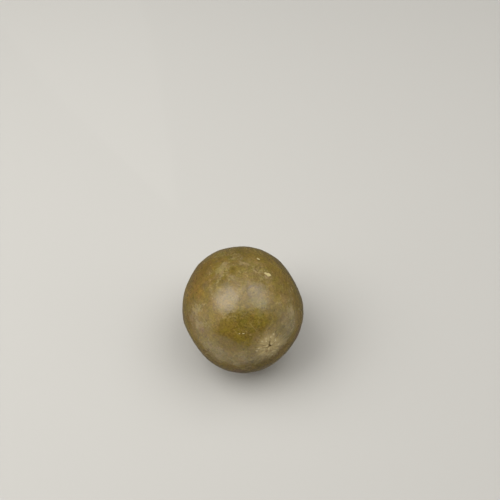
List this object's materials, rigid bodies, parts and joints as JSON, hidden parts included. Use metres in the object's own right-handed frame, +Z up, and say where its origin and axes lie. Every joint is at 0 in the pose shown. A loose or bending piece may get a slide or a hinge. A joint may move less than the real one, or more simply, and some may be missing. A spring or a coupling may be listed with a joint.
{
  "type": "dried monk fruit",
  "caption": "Whole dried monk fruit lying on its side, a satin olive-brown rind with a corky blossom scar and a stalk socket; a sweetening and tea ingredient, resting on a small flat spot.",
  "frame": {"origin": "on the flat resting spot, straight under the middle of the fruit", "axes": "+Z up from the surface; the fruit's axis lies in the YZ plane, the blossom end toward -Y and 23 degrees above the horizontal, the stem end toward +Y; +X across the fruit"},
  "size_m": [0.0533, 0.058, 0.0544],
  "materials": {
    "rind": "satin, dried gourd rind, olive brown with ochre clouds and pale corky ends"
  },
  "bodies": {
    "root": {"monk_fruit": "rind"}
  },
  "joints": []
}
